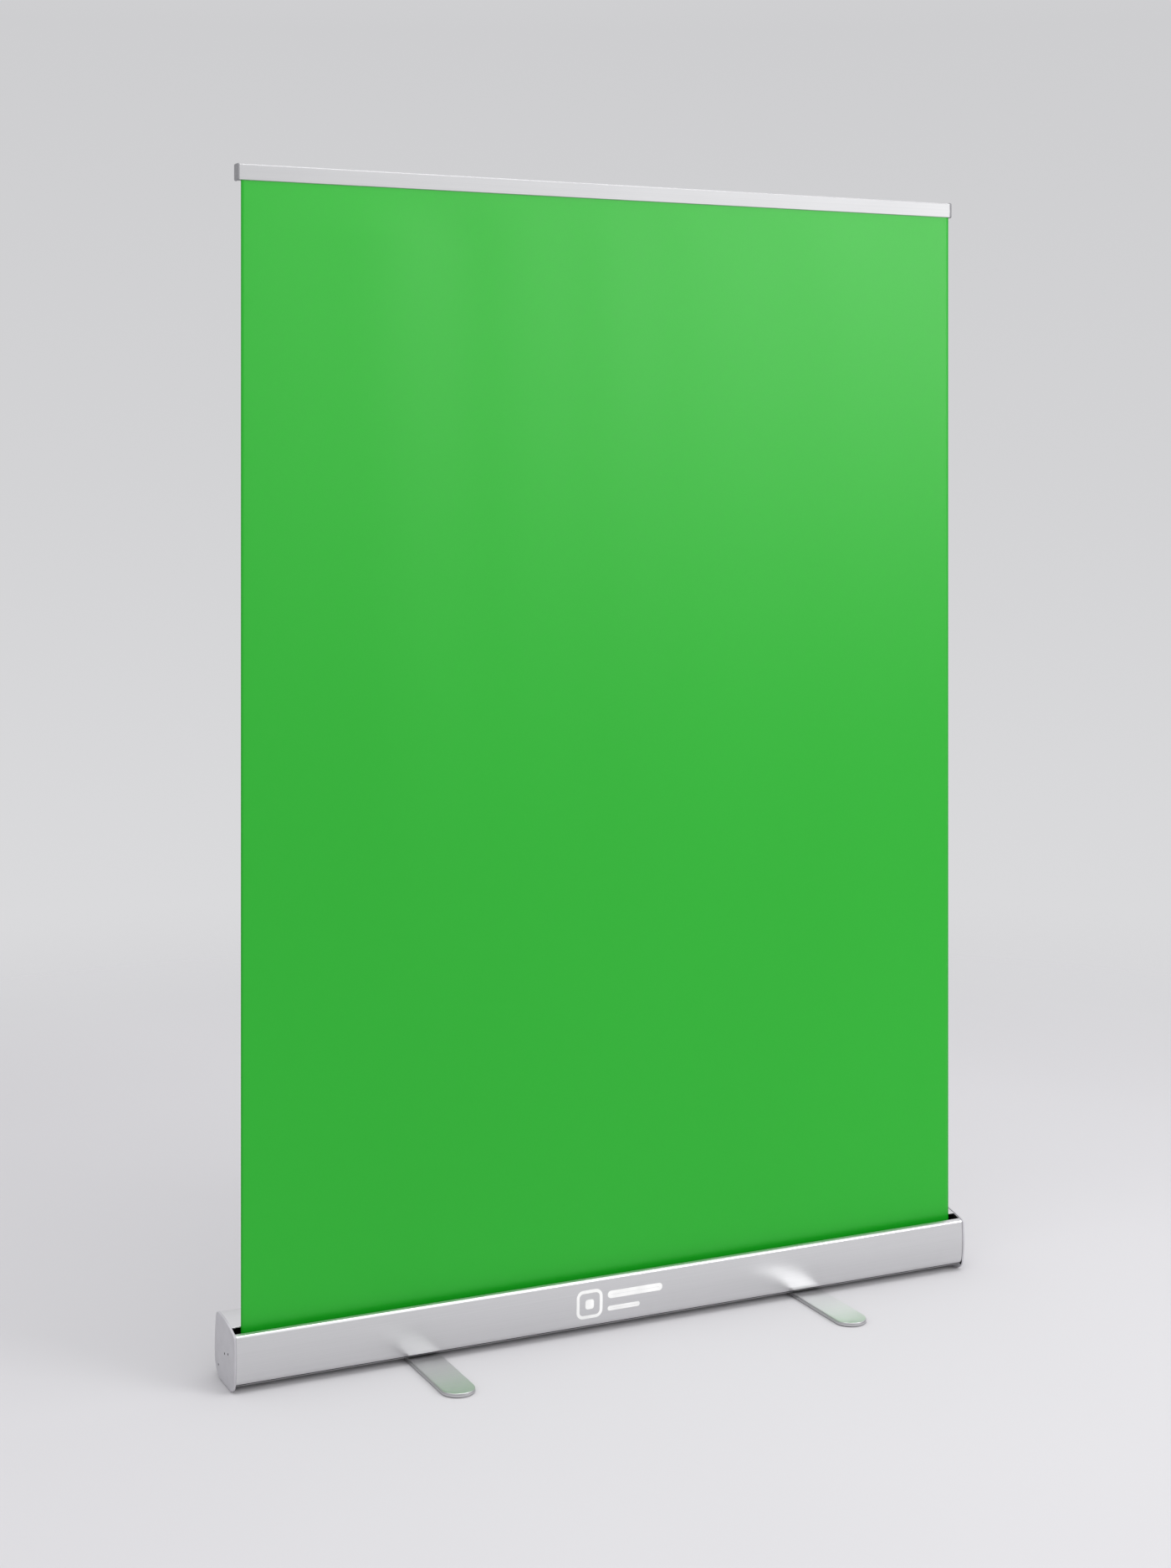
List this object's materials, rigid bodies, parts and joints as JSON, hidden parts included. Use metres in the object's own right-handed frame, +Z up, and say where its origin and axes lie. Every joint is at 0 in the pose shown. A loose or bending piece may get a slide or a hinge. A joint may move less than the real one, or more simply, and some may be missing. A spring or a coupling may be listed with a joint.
{
  "type": "roll-up banner stand",
  "caption": "Wide floor-standing roll-up banner stand: sprung roller in an aluminium cassette, plain banner, clamping top rail, telescopic rear poles and swing-out feet.",
  "frame": {"origin": "on the floor, midway along the cassette, in the plane of the two foot pivots", "axes": "+X along the cassette to the right as seen from the front, -Y towards the front, +Z up"},
  "size_m": [1.542, 0.48, 2.1803],
  "materials": {
    "anodised_aluminium": "satin anodised",
    "satin_aluminium": "bead-blasted and anodised",
    "grey_plastic": "fine moulded texture",
    "dark_grey_plastic": "fine moulded texture",
    "black_steel": "black oxide",
    "black_plastic": "fine moulded texture",
    "white_plastic": "smooth moulded",
    "black_rubber": "matt",
    "plated_steel": "zinc plated",
    "green_banner": "matt woven polyester"
  },
  "bodies": {
    "base": {"cassette_housing": "anodised_aluminium", "end_cap_left": "grey_plastic", "end_cap_right": "grey_plastic", "end_cap_screws": "black_steel", "axle_bracket_left": "plated_steel", "axle_bracket_right": "plated_steel", "spring_spindle": "plated_steel", "winding_spring": "plated_steel", "idler_pin": "plated_steel", "foot_pivot_bolt_left": "plated_steel", "foot_pivot_bolt_right": "plated_steel", "foot_thrust_washer_left": "white_plastic", "foot_thrust_washer_right": "white_plastic", "foot_nut_plate_left": "plated_steel", "foot_nut_plate_right": "plated_steel", "foot_pivot_nut_left": "plated_steel", "foot_pivot_nut_right": "plated_steel", "pole_socket_left": "black_plastic", "pole_socket_right": "black_plastic", "pole_foot_plug_left": "black_plastic", "pole_foot_plug_right": "black_plastic", "pole_lower_tube_left": "anodised_aluminium", "pole_lower_tube_right": "anodised_aluminium"},
    "roller": {"roller_tube": "anodised_aluminium", "spring_side_plug": "black_plastic", "spring_drive_plug": "black_plastic", "idler_plug": "black_plastic", "idler_bush": "white_plastic", "banner_wound_turns": "green_banner"},
    "top_rail": {"top_rail_profile": "satin_aluminium", "banner_clamp_strip": "white_plastic", "top_rail_cap_left": "dark_grey_plastic", "top_rail_cap_right": "dark_grey_plastic", "rail_pole_hook_left": "black_plastic", "rail_pole_hook_right": "black_plastic", "banner_sheet": "green_banner"},
    "foot_left": {"foot_bar_left": "satin_aluminium", "foot_pads_left": "black_rubber"},
    "lower_collar_left": {"pole_lower_collar_left": "black_plastic"},
    "pole_mid_left": {"pole_mid_tube_left": "anodised_aluminium", "pole_mid_expander_left": "black_plastic"},
    "upper_collar_left": {"pole_upper_collar_left": "black_plastic"},
    "pole_upper_left": {"pole_upper_tube_left": "anodised_aluminium", "pole_upper_expander_left": "black_plastic", "pole_head_left": "black_plastic"},
    "foot_right": {"foot_bar_right": "satin_aluminium", "foot_pads_right": "black_rubber"},
    "lower_collar_right": {"pole_lower_collar_right": "black_plastic"},
    "pole_mid_right": {"pole_mid_tube_right": "anodised_aluminium", "pole_mid_expander_right": "black_plastic"},
    "upper_collar_right": {"pole_upper_collar_right": "black_plastic"},
    "pole_upper_right": {"pole_upper_tube_right": "anodised_aluminium", "pole_upper_expander_right": "black_plastic", "pole_head_right": "black_plastic"}
  },
  "joints": [
    {"name": "rail_slide", "type": "slide", "parent": "base", "child": "top_rail", "axis": [0, 0, 1], "range_m": [-1.24, 0], "deforming": ["banner_sheet"]},
    {"name": "roller_spin", "type": "hinge", "parent": "base", "child": "roller", "pos_m": [0, -0.0135, 0.0595], "axis": [1, 0, 0], "range_deg": [0, 3650]},
    {"name": "foot_left_swing", "type": "hinge", "parent": "base", "child": "foot_left", "pos_m": [-0.406, 0, 0], "axis": [0, 0, 1], "range_deg": [0, 90]},
    {"name": "pole_mid_left_slide", "type": "slide", "parent": "base", "child": "pole_mid_left", "axis": [0, 0, 1], "range_m": [-0.62, 0]},
    {"name": "pole_upper_left_slide", "type": "slide", "parent": "pole_mid_left", "child": "pole_upper_left", "axis": [0, 0, 1], "range_m": [-0.62, 0]},
    {"name": "lower_collar_left_twist", "type": "hinge", "parent": "base", "child": "lower_collar_left", "pos_m": [-0.406, -0.0041, 0.8317], "axis": [0, 0, 1], "range_deg": [0, 90]},
    {"name": "upper_collar_left_twist", "type": "hinge", "parent": "pole_mid_left", "child": "upper_collar_left", "pos_m": [-0.406, -0.0041, 1.4934], "axis": [0, 0, 1], "range_deg": [0, 90]},
    {"name": "foot_right_swing", "type": "hinge", "parent": "base", "child": "foot_right", "pos_m": [0.406, 0, 0], "axis": [0, 0, 1], "range_deg": [-90, 0]},
    {"name": "pole_mid_right_slide", "type": "slide", "parent": "base", "child": "pole_mid_right", "axis": [0, 0, 1], "range_m": [-0.62, 0]},
    {"name": "pole_upper_right_slide", "type": "slide", "parent": "pole_mid_right", "child": "pole_upper_right", "axis": [0, 0, 1], "range_m": [-0.62, 0]},
    {"name": "lower_collar_right_twist", "type": "hinge", "parent": "base", "child": "lower_collar_right", "pos_m": [0.406, -0.0041, 0.8317], "axis": [0, 0, 1], "range_deg": [0, 90]},
    {"name": "upper_collar_right_twist", "type": "hinge", "parent": "pole_mid_right", "child": "upper_collar_right", "pos_m": [0.406, -0.0041, 1.4934], "axis": [0, 0, 1], "range_deg": [0, 90]}
  ],
  "couplings": [
    {"joint": "roller_spin", "follows": "rail_slide", "rad_per_m": -51.282},
    {"joint": "pole_mid_left_slide", "follows": "rail_slide", "ratio": 0.5},
    {"joint": "pole_upper_left_slide", "follows": "rail_slide", "ratio": 0.5},
    {"joint": "pole_mid_right_slide", "follows": "rail_slide", "ratio": 0.5},
    {"joint": "pole_upper_right_slide", "follows": "rail_slide", "ratio": 0.5}
  ]
}
